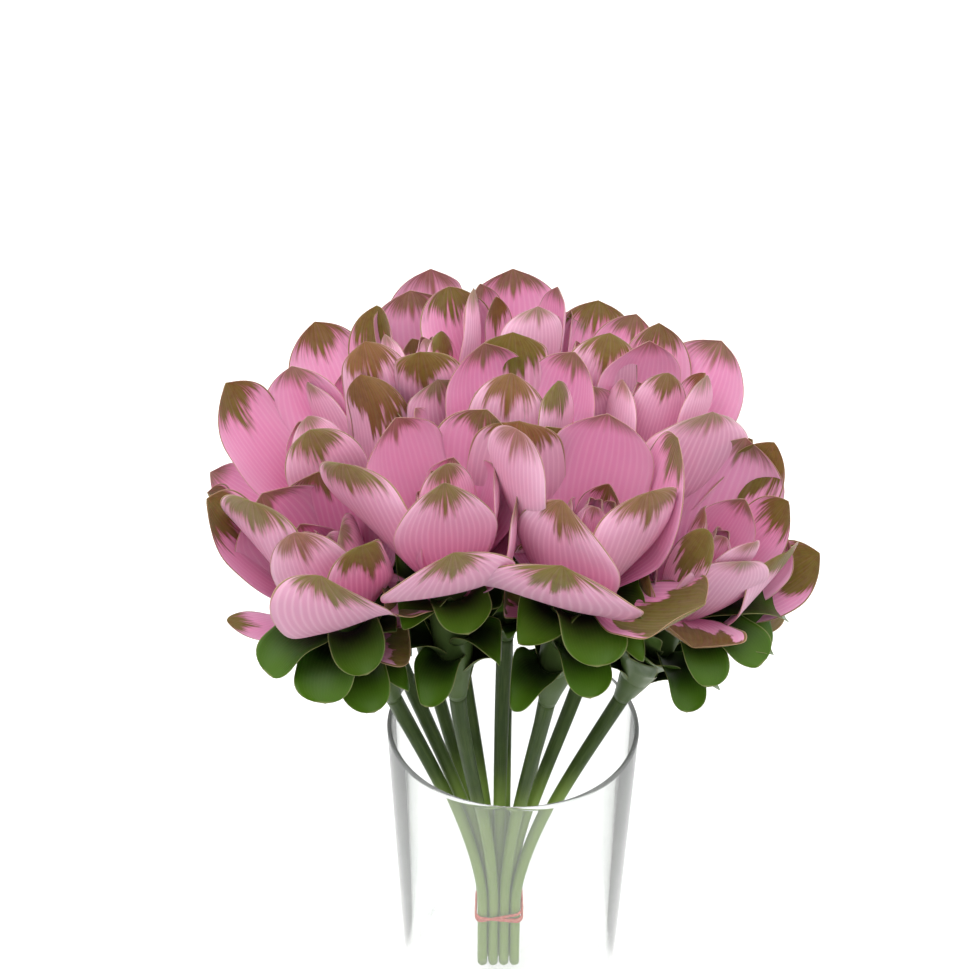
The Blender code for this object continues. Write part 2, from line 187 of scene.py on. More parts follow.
def put(tree, kind, settings=None, **inputs):
    # one node: settings are its own properties, inputs are values or sockets to link from
    node = tree.nodes.new("ShaderNode" + kind)
    for key, value in (settings or {}).items():
        setattr(node, key, value)
    for key, value in inputs.items():
        key = int(key[1:]) if key[0] == "i" and key[1:].isdigit() else key.replace("_", " ")
        feed(tree, node.inputs[key], value)
    return node


def feed(tree, socket, value):
    if isinstance(value, bpy.types.NodeSocket):
        tree.links.new(value, socket)
    else:
        socket.default_value = value


def sums(tree, operation, a, b=0.0, c=0.0):
    return put(tree, "Math", {"operation": operation}, i0=a, i1=b, i2=c).outputs[0]


def plus(tree, a, b):
    return sums(tree, "ADD", a, b)


def times(tree, a, b):
    return sums(tree, "MULTIPLY", a, b)


def scaled(tree, value, factor, offset):
    return sums(tree, "MULTIPLY_ADD", value, factor, offset)


def ramp(tree, value, low, high, first=0.0, last=1.0):
    # a smooth step of value from low to high, put out between first and last
    node = put(tree, "MapRange", {"interpolation_type": "SMOOTHSTEP"},
               i0=value, i1=low, i2=high, i3=first, i4=last)
    return node.outputs[0]


def blend(tree, share, a, b):
    # colour a with a share of colour b over it; either is a socket or a plain screen colour
    node = put(tree, "Mix", {"data_type": "RGBA"}, Factor=share)
    for number, color in ((6, a), (7, b)):
        feed(tree, node.inputs[number], paint(*color) if isinstance(color, tuple) else color)
    return node.outputs[2]


def flowNoise(tree, across, along, **settings):
    # plane noise over two values that are stretched already
    flow = put(tree, "CombineXYZ", i0=across, i1=along).outputs[0]
    return put(tree, "TexNoise", {"noise_dimensions": "2D"}, Vector=flow, **settings).outputs[0]


def dress(tree, shader, v, color, height=None):
    # the shader's colour, its plain inputs from the finish, and a bump from height
    tree.links.new(color, shader.inputs["Base Color"])
    for key, value in v["finish"].items():
        shader.inputs[key].default_value = value
    if height is not None:
        strength, depth = v["bump"]
        bump = put(tree, "Bump", Strength=strength, Distance=depth, Height=height)
        tree.links.new(bump.outputs[0], shader.inputs["Normal"])


def groupShell(name, inputs, outputs):
    group = bpy.data.node_groups.new(name, "ShaderNodeTree")
    for label, value in inputs:
        socket = group.interface.new_socket(label, in_out="INPUT", socket_type="NodeSocketFloat")
        socket.default_value = value
    for label in outputs:
        group.interface.new_socket(label, in_out="OUTPUT", socket_type="NodeSocketFloat")
    return group, group.nodes.new("NodeGroupInput"), group.nodes.new("NodeGroupOutput")


def buildVeinGroup():
    # parallel veins: a cosine across the bract, wobbled a little, with streaks along it
    group, source, out = groupShell(
        "bractVeins", [("Across", 0.5), ("Along", 0.5), ("Lines", 24.0), ("Wobble", 0.3)],
        ["Ribs", "Threads", "Streak"])
    across, along, lines, wobble = (source.outputs[k] for k in range(4))
    drift = flowNoise(group, times(group, across, 9.0), times(group, along, 3.0),
                      Scale=1.0, Detail=2.0)
    phase = scaled(group, across, lines, times(group, drift, wobble))
    wave = sums(group, "COSINE", times(group, phase, 2 * math.pi))
    ribs = sums(group, "POWER", scaled(group, wave, 0.5, 0.5), 3.0)
    group.links.new(ribs, out.inputs["Ribs"])
    wave = sums(group, "COSINE", times(group, phase, 6 * math.pi))
    group.links.new(scaled(group, wave, 0.5, 0.5), out.inputs["Threads"])
    streak = flowNoise(group, times(group, across, lines), times(group, along, 2.5),
                       Scale=1.3, Detail=3.0, Roughness=0.6)
    group.links.new(ramp(group, streak, 0.3, 0.7), out.inputs["Streak"])
    return group


def buildCloudGroup():
    # soft blotches over the whole plant, on object coordinates
    group, source, out = groupShell("softClouds", [("Size", 60.0), ("Low", 0.35), ("High", 0.65)],
                                    ["Cloud"])
    place = put(group, "TexCoord").outputs["Object"]
    size, low, high = (source.outputs[k] for k in range(3))
    noise = put(group, "TexNoise", Vector=place, Scale=size, Detail=3.0).outputs[0]
    step = ramp(group, noise, low, high)
    group.links.new(step, out.inputs["Cloud"])
    return group


def placeGroup(tree, group, **values):
    node = tree.nodes.new("ShaderNodeGroup")
    node.node_tree = group
    for key, value in values.items():
        feed(tree, node.inputs[key], value)
    return node


def placeVeins(tree, veins, across, along, v):
    node = placeGroup(tree, veins, Across=across, Along=along, Lines=v["veinLines"],
                      Wobble=v["veinWobble"])
    return [node.outputs[name] for name in ("Ribs", "Threads", "Streak")]


def placeCloud(tree, clouds, size, low, high):
    return placeGroup(tree, clouds, Size=size, Low=low, High=high).outputs[0]


def mark(tree, name):
    return put(tree, "Attribute", {"attribute_name": name}).outputs["Fac"]


def bractPlace(tree):
    # across and along the bract, and the distance from its midrib
    uv = put(tree, "UVMap", {"uv_map": "bractMap"}).outputs[0]
    split = put(tree, "SeparateXYZ", i0=uv)
    across, along = split.outputs[0], split.outputs[1]
    side = sums(tree, "ABSOLUTE", scaled(tree, across, 2.0, -1.0))
    return across, along, side


pinkValues = {
    "light": (0.93, 0.68, 0.80),
    "mid": (0.88, 0.54, 0.71),
    "deep": (0.80, 0.38, 0.60),
    "vein": (0.96, 0.77, 0.84),
    "bloomy": (0.84, 0.66, 0.72),  # the greyer outer faces
    "olive": (0.40, 0.38, 0.13),
    "moss": (0.44, 0.44, 0.14),
    "brown": (0.52, 0.28, 0.18),
    "dark": (0.34, 0.20, 0.10),
    "margin": (0.78, 0.62, 0.50),
    "deepShare": 0.85, "bloomyShare": 0.4, "russetShare": 0.6, "darkShare": 0.3,
    "mossShare": 0.3, "marginShare": 0.7, "veinShare": 0.5,
    "insideVeinLoss": 0.25,  # veins show less on the inner face
    "veinLines": 18.0, "veinWobble": 0.3,
    "cloud": (45.0, 0.3, 0.7),  # size, and where a blotch starts and is full
    "mottle": (420.0, 0.45, 0.65),
    # the length that a stain of 1 covers at the midrib, what the sides lose of it, what the
    # patches swing it by, and what the midrib, the streaks and the rim add
    "reach": 0.17, "sideLoss": 0.11, "patch": 0.26, "finger": 0.08, "fringe": 0.07, "rim": 0.3,
    "finish": {"Roughness": 0.5, "Specular IOR Level": 0.3, "Subsurface Weight": 0.2,
               "Subsurface Radius": (1.0, 0.45, 0.55), "Subsurface Scale": 0.0025,
               "Sheen Weight": 0.1},
    "bump": (0.3, 0.00012),  # strength, and depth in metres
}


def buildPink(veins, clouds):
    v = pinkValues
    material, tree, shader = newMaterial("pinkBract")
    across, along, side = bractPlace(tree)
    stain, tone, inside = mark(tree, "stain"), mark(tree, "tone"), mark(tree, "inside")
    ribs, threads, streak = placeVeins(tree, veins, across, along, v)
    cloud = placeCloud(tree, clouds, *v["cloud"])
    sideSquared = sums(tree, "POWER", side, 2.0)
    # ground colour: paler towards the margin, deeper low down, a little different on each bract
    pale = scaled(tree, sideSquared, 0.4, times(tree, cloud, 0.2))
    pale = plus(tree, pale, scaled(tree, tone, 0.5, -0.1))
    ground = blend(tree, pale, v["mid"], v["light"])
    low = ramp(tree, along, 0.55, 0.08, 0.0, v["deepShare"])
    ground = blend(tree, low, ground, v["deep"])
    outside = scaled(tree, inside, -v["bloomyShare"], v["bloomyShare"])
    ground = blend(tree, outside, ground, v["bloomy"])
    veinShare = scaled(tree, inside, -v["insideVeinLoss"], v["veinShare"])
    ground = blend(tree, times(tree, ribs, veinShare), ground, v["vein"])
    # the stained tip: it reaches furthest along the midrib, and its lower edge is soft and uneven
    flow = put(tree, "CombineXYZ", i0=times(tree, across, 7.0), i1=times(tree, along, 3.5),
               i2=times(tree, tone, 30.0)).outputs[0]
    patch = put(tree, "TexNoise", Vector=flow, Scale=1.0, Detail=3.0).outputs[0]
    reach = scaled(tree, sideSquared, -v["sideLoss"], v["reach"])
    reach = plus(tree, reach, scaled(tree, patch, v["patch"], -v["patch"] / 2))
    finger = ramp(tree, side, 0.11, 0.0, 0.0, v["finger"])
    reach = times(tree, plus(tree, reach, finger), stain)
    fringe = times(tree, sums(tree, "MINIMUM", stain, 1.0), v["fringe"])
    reach = scaled(tree, sums(tree, "SUBTRACT", streak, 0.5), fringe, reach)
    rim = times(tree, ramp(tree, side, 0.93, 0.99), times(tree, stain, v["rim"]))
    reach = sums(tree, "MAXIMUM", reach, rim)
    depth = plus(tree, sums(tree, "SUBTRACT", along, 1.0), reach)
    cover = ramp(tree, depth, -0.07, 0.05)
    # its colour: brown at the lower edge, olive at the tip, mottled, with mossy veins
    ripe = ramp(tree, plus(tree, depth, scaled(tree, patch, 0.2, -0.1)), -0.05, 0.05)
    tinge = blend(tree, ripe, v["brown"], v["olive"])
    russet = times(tree, ramp(tree, tone, 0.55, 1.0), v["russetShare"])
    tinge = blend(tree, russet, tinge, v["brown"])
    mottle = times(tree, placeCloud(tree, clouds, *v["mottle"]), v["darkShare"])
    tinge = blend(tree, mottle, tinge, v["dark"])
    mossy = sums(tree, "MAXIMUM", ribs, ramp(tree, side, 0.05, 0.01))
    tinge = blend(tree, times(tree, mossy, v["mossShare"]), tinge, v["moss"])
    dense = ramp(tree, stain, 0.3, 1.2, 0.76, 0.96)
    cover = times(tree, cover, scaled(tree, streak, 0.08, dense))
    color = blend(tree, cover, ground, tinge)
    edge = times(tree, ramp(tree, side, 0.972, 1.0), ramp(tree, along, 0.25, 0.6))
    color = blend(tree, times(tree, edge, v["marginShare"]), color, v["margin"])
    dress(tree, shader, v, color, scaled(tree, threads, 0.25, ribs))
    return material


greenValues = {
    "upper": (0.13, 0.23, 0.03),
    "upperLight": (0.27, 0.38, 0.07),
    "under": (0.28, 0.36, 0.18),
    "underLight": (0.39, 0.47, 0.27),
    # pocketShade: painted shade for the pockets behind the lips
    "pocketShade": (0.04, 0.06, 0.02),
    # litTip: painted light, a lighter green for the lips' upturned ends
    "litTip": (0.30, 0.44, 0.07),
    "rim": (0.55, 0.55, 0.36),
    "turnedShare": 0.85, "litTipShare": 0.6, "pocketShadeShare": 0.95, "veinShare": 0.05,
    "rimShare": 0.7, "veinLines": 19.0, "veinWobble": 0.4, "cloud": (70.0, 0.3, 0.7),
    "finish": {"Roughness": 0.4, "Specular IOR Level": 0.2, "Subsurface Weight": 0.06,
               "Subsurface Radius": (0.4, 1.0, 0.2), "Subsurface Scale": 0.0015},
    "bump": (0.12, 0.00012),
}


def buildGreen(veins, clouds):
    v = greenValues
    material, tree, shader = newMaterial("greenBract")
    across, along, side = bractPlace(tree)
    tone, inside = mark(tree, "tone"), mark(tree, "inside")
    ribs, threads, _ = placeVeins(tree, veins, across, along, v)
    cloud = placeCloud(tree, clouds, *v["cloud"])
    share = plus(tree, times(tree, tone, 0.6), times(tree, cloud, 0.3))
    upper = blend(tree, share, v["upper"], v["upperLight"])
    under = blend(tree, share, v["under"], v["underLight"])
    # past the bend the underside takes the upper colour; towards the lip's end the upper face is
    # painted a lighter green, painted light where light falls on the upturned lip
    turned = ramp(tree, along, 0.4, 0.7, 0.0, v["turnedShare"])
    under = blend(tree, turned, under, upper)
    litTip = times(tree, ramp(tree, along, 0.62, 0.95), v["litTipShare"])
    upper = blend(tree, litTip, upper, v["litTip"])
    # painted shade: deep in the pockets behind the lips the upper face is darkened nearly to black,
    # where shade falls
    pocketShade = times(tree, ramp(tree, along, 0.82, 0.42, 0.0, v["pocketShadeShare"]),
                   ramp(tree, side, 1.0, 0.35, 0.25, 1.0))
    upper = blend(tree, pocketShade, upper, v["pocketShade"])
    color = blend(tree, inside, under, upper)
    color = blend(tree, times(tree, ribs, v["veinShare"]), color, v["underLight"])
    edge = sums(tree, "MAXIMUM", ramp(tree, side, 0.95, 0.995), ramp(tree, along, 0.975, 0.998))
    color = blend(tree, times(tree, edge, v["rimShare"]), color, v["rim"])
    dress(tree, shader, v, color, plus(tree, ribs, times(tree, threads, 0.3)))
    return material


stemValues = {
    "green": (0.19, 0.27, 0.08),
    "pale": (0.31, 0.38, 0.17),
    "dark": (0.12, 0.19, 0.04),
    # glassHaze: a paler green painted on the stems below the rim, painted light for the glass's haze
    "glassHaze": (0.55, 0.66, 0.30),
    "glassHazeFrom": 0.13, "glassHazeTo": 0.1,  # metres up, going down
    "paleShare": 0.5, "darkShare": 0.45, "glassHazeShare": 0.75, "cloud": (55.0, 0.3, 0.7),
    "finish": {"Roughness": 0.42, "Specular IOR Level": 0.22},
    "bump": (0.25, 0.0002),
}


def buildStemGreen(clouds):
    v = stemValues
    material, tree, shader = newMaterial("stemGreen")
    across, along, _ = bractPlace(tree)
    cloud = placeCloud(tree, clouds, *v["cloud"])
    grain = flowNoise(tree, times(tree, across, 22.0), times(tree, along, 5.0), Scale=2.0,
                      Detail=4.0)
    lines = ramp(tree, grain, 0.35, 0.65)
    color = blend(tree, times(tree, lines, v["paleShare"]), v["green"], v["pale"])
    color = blend(tree, times(tree, cloud, v["darkShare"]), color, v["dark"])
    # painted light: below the vase's rim the stems are painted a paler green, standing in for the
    # whitish light that the glass's haze lays over them
    place = put(tree, "TexCoord").outputs["Object"]
    high = put(tree, "SeparateXYZ", Vector=place).outputs["Z"]
    low = ramp(tree, high, v["glassHazeFrom"], v["glassHazeTo"], 0.0, v["glassHazeShare"])
    color = blend(tree, low, color, v["glassHaze"])
    dress(tree, shader, v, color, lines)
    return material


glassValues = {
    "tint": (0.975, 0.98, 0.975),
    "shade": (0.955, 0.965, 0.96),
    "cloud": (38.0, 0.35, 0.75), "cloudRoughness": 0.03,
    "finish": {"IOR": 1.16, "Transmission Weight": 0.89},  # less than 1 is a light haze
}


def buildGlass(clouds):
    v = glassValues
    material, tree, shader = newMaterial("vaseGlass")
    cloud = placeCloud(tree, clouds, *v["cloud"])
    dress(tree, shader, v, blend(tree, cloud, v["tint"], v["shade"]))
    tree.links.new(times(tree, cloud, v["cloudRoughness"]), shader.inputs["Roughness"])
    # light on its way to a lamp passes straight through, so the glass casts almost no shade
    clear = put(tree, "BsdfTransparent").outputs[0]
    path = put(tree, "LightPath")
    either = sums(tree, "MAXIMUM", path.outputs["Is Shadow Ray"], path.outputs["Is Diffuse Ray"])
    mixed = put(tree, "MixShader", i0=either, i1=shader.outputs[0], i2=clear)
    tree.links.new(mixed.outputs[0], tree.nodes["Material Output"].inputs["Surface"])
    return material


bandValues = {
    "red": (0.70, 0.28, 0.22),
    "pale": (0.84, 0.48, 0.40),
    "cloud": (900.0, 0.3, 0.7), "finish": {"Roughness": 0.6}, "bump": (0.2, 0.0001),
}


def buildRubber(clouds):
    v = bandValues
    material, tree, shader = newMaterial("bandRubber")
    cloud = placeCloud(tree, clouds, *v["cloud"])
    dress(tree, shader, v, blend(tree, cloud, v["red"], v["pale"]), cloud)
    return material


# the blooms' places

# tiers of bracts, in mm from the bloom's foot along its axis: height and radius of the root,
# length, half width, angle from the axis at the root and at the tip, how late the bend comes
# where it isn't even, half angles of the section's arc at the root and at the tip, and the
# width at the root as a share of the widest
tiers = {
    "outer": dict(height=52.4, root=7.0, length=48.0, half=19.0, lean=66, tip=15, arc=34,
                  tipArc=18),
    "inner": dict(height=58.0, root=5.5, length=55.0, half=16.5, lean=37, tip=6, arc=34,
                  tipArc=20),
    "heart": dict(height=63.0, root=3.4, length=44.0, half=10.5, lean=19, tip=2, arc=44,
                  tipArc=34),
    "bud": dict(height=66.0, root=1.6, length=33.0, half=6.5, lean=9, tip=-4, arc=60,
                tipArc=50),
    "late": dict(height=45.0, root=7.0, length=38.0, half=16.0, lean=58, tip=92, arc=44,
                 tipArc=26),
    "low": dict(height=2.0, root=2.6, length=29.0, half=8.5, lean=16, tip=150, bend=1.25,
                arc=70, tipArc=38, rootShare=0.6),
    "middle": dict(height=13.0, root=4.5, length=31.0, half=9.0, lean=18, tip=150, bend=1.3,
                   arc=70, tipArc=38, rootShare=0.65),
    "top": dict(height=25.0, root=6.0, length=32.0, half=9.5, lean=20, tip=145, bend=1.3,
                arc=66, tipArc=36, rootShare=0.7),
    "brim": dict(height=37.0, root=7.0, length=32.0, half=10.0, lean=26, tip=130, bend=1.3,
                 arc=60, tipArc=34, rootShare=0.7),
    "collar": dict(height=46.0, root=7.0, length=25.0, half=11.0, lean=30, tip=108, bend=1.3,
                   arc=60, tipArc=16, rootShare=0.7),
}

# the flat front bracts whose ends turn up
lipped = dict(arc=18, tipArc=8, bend=1.6, point=1.7, blunt=0.7)

# each bloom's foot and crown in mm, where its rounds of lips start, and its pink bracts: tier,
# turn round the axis in degrees (0 is to the right, -90 to the front), extra opening, length
# and width factors, how far the tip is stained, and what else is special. Its own green lips
# are the same without the stain.
blooms = [
    dict(foot=(-21, -25, 181), crown=(-26, -45, 288), greenTurn=-45, bracts=[
        ("late", -138, -16, 0.8, 1.0, 4.0, dict(height=6)),
        ("outer", -84, -12, 1.0, 1.2, 0.9, dict(lipped, roll=12, height=7)),
        ("inner", -160, 2, 1.05, 1.15, 0.9, dict(roll=45, free=1)), ("outer", -12, -18, 1.05, 0.9, 0.6),
        ("outer", 60, -10, 1.0, 1.0, 0.5),
        ("inner", -82, -10, 1.0, 0.95, 0.9,
         dict(tip=6, widest=0.62, arc=24, tipArc=12, point=1.7, blunt=0.75)),
        ("inner", 130, -6, 1.0, 1.05, 0.6), ("inner", 46, -1, 1.02, 1.2, 0.9),
        ("inner", 5, -4, 0.8, 0.9, 0.3), ("heart", -60, -6, 1.0, 1.0, 0.8),
        ("heart", 60, 0, 0.82, 1.0, 0.4), ("heart", 175, -2, 0.65, 1.0, 0.4)], greens=[
        ("middle", -106, 0, 1.0, 1.0, dict(height=6)), ("top", -160, 4, 1.0, 1.0),
        ("brim", -72, -8, 0.9, 1.0, dict(height=12)), ("brim", -50, 0, 1.0, 0.8, dict(height=-5)),
        ("brim", -120, -8, 0.9, 1.0, dict(height=12))]),
    dict(foot=(12, -21, 175), crown=(24, -50, 286), greenTurn=-120, bracts=[
        ("late", 170, 0, 1.0, 1.0, 4.0), ("outer", 125, -16, 1.4, 1.0, 2.2),
        ("outer", -116, -16, 1.0, 1.4, 1.0, dict(lipped, roll=16, height=9, free=1)),
        ("outer", -42, 16, 0.95, 0.9, 4.0, dict(arc=26, height=9, free=1)),
        ("outer", 55, 0, 1.0, 1.0, 0.6), ("inner", 84, -5, 1.1, 1.15, 0.3, dict(point=3.0, blunt=0.5)),
        ("inner", 20, 9, 1.2, 1.1, 0.9),
        ("inner", -115, -7, 1.0, 1.1, 0.9, dict(swerve=-18, point=1.8, blunt=0.72)),
        ("inner", -33, -12, 1.0, 1.15, 0.9, dict(roll=-40)),
        ("inner", -176, -2, 1.3, 0.85, 0.5, dict(roll=50, free=1)), ("heart", 10, -4, 0.8, 0.8, 0.8),
        ("heart", 60, 0, 0.85, 0.8, 1.0), ("heart", 170, -2, 0.8, 0.9, 0.3)], greens=[
        ("top", -130, 0, 1.0, 1.0, dict(height=-5)), ("brim", -86, 0, 1.0, 1.15, dict(height=16)),
        ("brim", -82, 0, 1.0, 0.9), ("brim", -50, 0, 1.0, 0.8, dict(height=11)),
        ("brim", -30, 0, 1.0, 1.0, dict(height=18)), ("brim", -125, -4, 1.0, 1.0, dict(height=14))]),
    dict(foot=(42, -6, 165), crown=(68, -45, 272), greenTurn=-60, bracts=[
        ("late", -98, -20, 0.65, 1.15, 4.0, dict(height=16)), ("late", 20, 4, 1.0, 1.0, 4.0),
        ("outer", 40, -2, 1.0, 1.0, 0.8), ("outer", 14, 10, 1.05, 0.72, 2.0),
        ("outer", -165, -14, 0.8, 0.7, 1.6), ("outer", -4, -25, 1.02, 0.9, 1.0, dict(roll=-50)),
        ("outer", 100, 0, 1.0, 1.0, 0.6), ("inner", 75, 12, 1.1, 1.3, 0.6),
        ("inner", 60, 12, 1.15, 0.7, 2.0), ("inner", -137, -12, 0.98, 0.42, 2.2),
        ("inner", -75, -14, 0.8, 1.0, 0.3), ("inner", 160, -6, 0.8, 0.9, 0.4),
        ("inner", 25, 0, 0.95, 0.7, 1.3), ("heart", -60, 0, 1.0, 1.0, 0.4),
        ("heart", 60, 0, 1.0, 1.0, 0.6), ("heart", 170, -2, 1.0, 1.0, 0.8)], greens=[
        ("brim", -84, 0, 1.0, 0.8), ("brim", -86, 0, 1.0, 0.85, dict(height=16)),
        ("brim", 0, 14, 1.1, 1.1, dict(height=22)), ("brim", -24, 6, 1.0, 1.1, dict(height=15)),
        ("brim", -48, -4, 1.0, 1.0, dict(height=16)), ("middle", -140, 0, 1.2, 1.2, dict(tip=-110)),
        ("top", -110, 0, 0.9, 1.2, dict(tip=-100)), ("brim", -150, 0, 1.0, 1.1, dict(tip=-90))]),
    dict(foot=(-46, -13, 171), crown=(-66, -53, 268), greenTurn=-20, bracts=[
        ("late", -20, -10, 0.8, 1.0, 4.0), ("inner", 168, 2, 1.12, 0.8, 1.6),
        ("inner", -35, 2, 1.0, 0.9, 1.2, dict(roll=-40)),
        ("outer", -66, -30, 1.15, 1.0, 0.9, dict(lipped, roll=-20, skew=-45, height=10)),
        ("outer", -178, -6, 0.82, 0.3, 1.0, dict(height=-12, tip=50, free=1)),
        ("outer", 75, -6, 1.15, 1.0, 2.8), ("inner", 135, -4, 0.9, 1.2, 0.6),
        ("inner", 85, -3, 0.9, 1.1, 0.9), ("inner", -168, -20, 1.16, 1.05, 0.9, dict(roll=56, free=1)),
        ("inner", -80, -20, 1.0, 0.8, 0.7), ("inner", 0, -16, 0.8, 0.9, 0.5),
        ("heart", -20, -6, 0.8, 1.0, 0.4), ("heart", 120, -4, 0.8, 1.0, 0.4)], greens=[
        ("brim", -78, 0, 1.0, 0.9), ("brim", -66, -6, 0.95, 0.95, dict(height=17)),
        ("brim", -97, 0, 1.0, 1.2, dict(height=10)), ("brim", -135, -4, 1.0, 1.0, dict(height=14)),
        ("top", -40, 0, 1.0, 1.0, dict(height=8))]),
    dict(foot=(31.6, 2, 190.5), crown=(50, 3, 299), greenTurn=35, bracts=[
        ("outer", -60, -22, 1.15, 1.3, 0.5), ("outer", 160, 4, 1.25, 1.0, 0.4),
        ("outer", 0, 4, 0.95, 1.0, 1.6), ("outer", 70, 0, 0.9, 1.0, 0.5),
        ("inner", 44, 2, 1.1, 1.22, 0.6), ("inner", 110, -15, 1.0, 1.1, 0.3),
        ("inner", 92, -4, 1.1, 1.0, 0.9), ("inner", -30, -12, 0.95, 0.9, 0.4),
        ("inner", -165, -12, 0.8, 0.9, 0.4), ("heart", -95, -6, 1.0, 1.0, 0.9),
        ("heart", 15, 6, 1.0, 0.9, 1.0), ("heart", 140, -2, 0.8, 1.0, 0.3)]),
    dict(foot=(-3.4, -2.8, 191), crown=(0, -10, 301), greenTurn=-80, bracts=[
        ("late", -55, 6, 1.0, 1.0, 2.8), ("outer", -93, -22, 1.2, 1.1, 1.1),
        ("outer", 10, -4, 1.0, 1.0, 0.6), ("outer", 175, 4, 1.15, 1.0, 0.3),
        ("outer", 70, -6, 1.3, 1.0, 1.6), ("inner", 120, 0, 1.0, 1.1, 0.6),
        ("inner", -105, -18, 1.0, 0.85, 1.0), ("inner", 40, 3, 1.0, 1.1, 0.6),
        ("inner", -30, -12, 0.95, 0.9, 1.0), ("inner", -170, -12, 0.8, 0.9, 0.4),
        ("heart", -25, 6, 1.0, 1.0, 1.0), ("heart", 120, 0, 0.85, 1.0, 0.4)]),
    dict(foot=(-45.4, 2.5, 179.7), crown=(-73, -5, 286), greenTurn=15, bracts=[
        ("outer", 165, 8, 1.1, 1.0, 0.4), ("outer", -163, 1, 1.1, 1.0, 2.2),
        ("outer", -90, -4, 1.0, 1.0, 0.9), ("outer", 10, -12, 1.1, 1.1, 0.8),
        ("inner", 160, -2, 1.2, 1.1, 1.1), ("inner", 96, 0, 1.1, 1.2, 0.5),
        ("inner", -68, -6, 0.95, 0.85, 0.9), ("heart", -60, -6, 1.0, 1.0, 0.4),
        ("heart", 120, 0, 0.85, 1.0, 0.4)]),
    dict(foot=(20.2, 19.5, 195), crown=(31, 32, 304), greenTurn=40, bracts=[
        ("late", 160, 0, 1.0, 1.0, 1.6), ("outer", -90, -6, 1.0, 1.0, 0.5),
        ("outer", 10, 0, 1.0, 1.0, 0.5), ("outer", 120, -4, 1.0, 1.0, 0.5),
        ("inner", 130, 6, 0.98, 1.3, 0.7), ("inner", 90, 3, 1.07, 1.1, 1.0),
        ("inner", 50, -3, 1.0, 1.0, 0.7), ("inner", -90, -8, 0.95, 0.9, 1.1),
        ("heart", 0, 0, 0.9, 1.0, 0.8), ("heart", 150, 0, 0.85, 1.0, 0.4)]),
    dict(foot=(-2, 25.7, 202.4), crown=(0, 43, 311), greenTurn=5, bracts=[
        ("late", -90, -4, 1.1, 0.9, 2.8), ("outer", 40, -20, 1.15, 0.8, 0.5),
        ("outer", -92, -9, 1.15, 1.0, 1.4), ("outer", 145, -6, 1.0, 1.0, 0.5),
        ("inner", 88, -9, 1.1, 1.25, 0.7), ("inner", 25, -8, 1.0, 0.9, 0.4),
        ("inner", 140, -10, 1.0, 1.0, 0.6), ("inner", -60, -10, 0.9, 1.0, 0.4),
        ("inner", 160, 2, 1.02, 1.0, 1.0, dict(free=1, roll=-50)), ("heart", -40, 0, 0.9, 1.0, 0.7),
        ("heart", 130, 0, 1.0, 0.8, 1.4)]),
    dict(foot=(-23.9, 19, 198.4), crown=(-33, 34, 307), greenTurn=25, bracts=[
        ("outer", 150, -6, 1.0, 1.0, 1.2), ("outer", -75, -2, 1.0, 1.0, 0.6),
        ("outer", 60, -8, 1.0, 1.0, 0.5), ("inner", 108, -5, 1.07, 1.3, 0.7),
        ("inner", -90, 14, 0.9, 1.0, 1.2), ("outer", 86, -28, 1.56, 1.1, 0.5),
        ("inner", -15, -8, 1.1, 0.9, 0.5), ("inner", -150, -8, 0.85, 0.9, 0.4),
        ("heart", -50, 0, 0.9, 0.8, 1.4), ("heart", 130, 0, 0.8, 1.0, 0.9)]),
    dict(foot=(-39.2, 18.4, 187.9), crown=(-59, 23, 296), greenTurn=55, bracts=[
        ("outer", -74, -26, 1.24, 0.72, 1.9, dict(tone=1)), ("outer", 150, -4, 1.0, 1.0, 0.6),
        ("outer", 60, -6, 1.0, 1.0, 0.6), ("inner", 122, 6, 1.15, 1.05, 1.0),
        ("inner", -62, -6, 1.1, 0.9, 1.1), ("inner", 72, -3, 1.15, 0.9, 1.6),
        ("inner", -150, -6, 0.85, 1.0, 0.4), ("heart", -30, 0, 0.85, 1.0, 0.4),
        ("heart", 120, 0, 0.85, 1.0, 0.4)]),
]


def bloomFrame(bloom):
    foot = np.array(bloom["foot"], float)
    axis = unit(np.array(bloom["crown"], float) - foot)
    across = unit(np.array([1.0, 0, 0]) - axis[0] * axis)
    return foot, across, np.cross(axis, across), axis


def toWorld(points, place):
    foot, across, along, axis = place
    return foot + points[..., :1] * across + points[..., 1:2] * along + points[..., 2:3] * axis


# pressing starts at this share of the way to a neighbour, measured at this height
pressValues = {"from": 0.75, "rounds": 4, "height": 68.0}


def partingPlanes(index, places):
    # between a bloom and each other one: a plane half way, along the mean of their axes
    middles = [(foot + pressValues["height"] * axis, axis) for foot, _, _, axis in places]
    middle, axis = middles[index]
    planes = []
    for otherMiddle, otherAxis in middles[:index] + middles[index + 1:]:
        mean = unit(axis + otherAxis)
        normal = otherMiddle - middle
        planes.append(((middle + otherMiddle) / 2, unit(normal - (normal @ mean) * mean)))
    return planes


def press(points, place, planes, inset):
    # What reaches most of the way to a neighbour is pressed back towards the axis: past start,
    # a reach of start + x becomes start + room (1 - e^(-x / room)).
    foot, _, _, axis = place
    for _ in range(pressValues["rounds"]):
        for point, normal in planes:
            onAxis = foot + ((points - foot) @ axis)[..., None] * axis
            reach = (point - onAxis) @ normal - inset
            out = (points - onAxis) @ normal
            start = pressValues["from"] * reach
            room = reach - start
            pressed = start + room * (1 - np.exp(-np.maximum(out - start, 0) / room))
            points = points - np.where(out > start, out - pressed, 0)[..., None] * normal
    return points


# bracts

# grid, shape of the point (a larger point keeps the width longer, a smaller blunt rounds it),
# degrees that the section closes near the tip, mm that the midrib runs past it, depth of the
# waves, and mm that pressing keeps free of the plane between two blooms (less than 0 is past it)
bractForms = {
    "pink": dict(rows=34, columns=20, point=2.7, blunt=0.52, hood=14.0, beak=0.7, wave=0.045,
                 inset=-6.0),
    "lip": dict(rows=24, columns=14, point=3.2, blunt=0.5, hood=5.6, beak=0.21, wave=0.11,
                inset=-1.5),
}

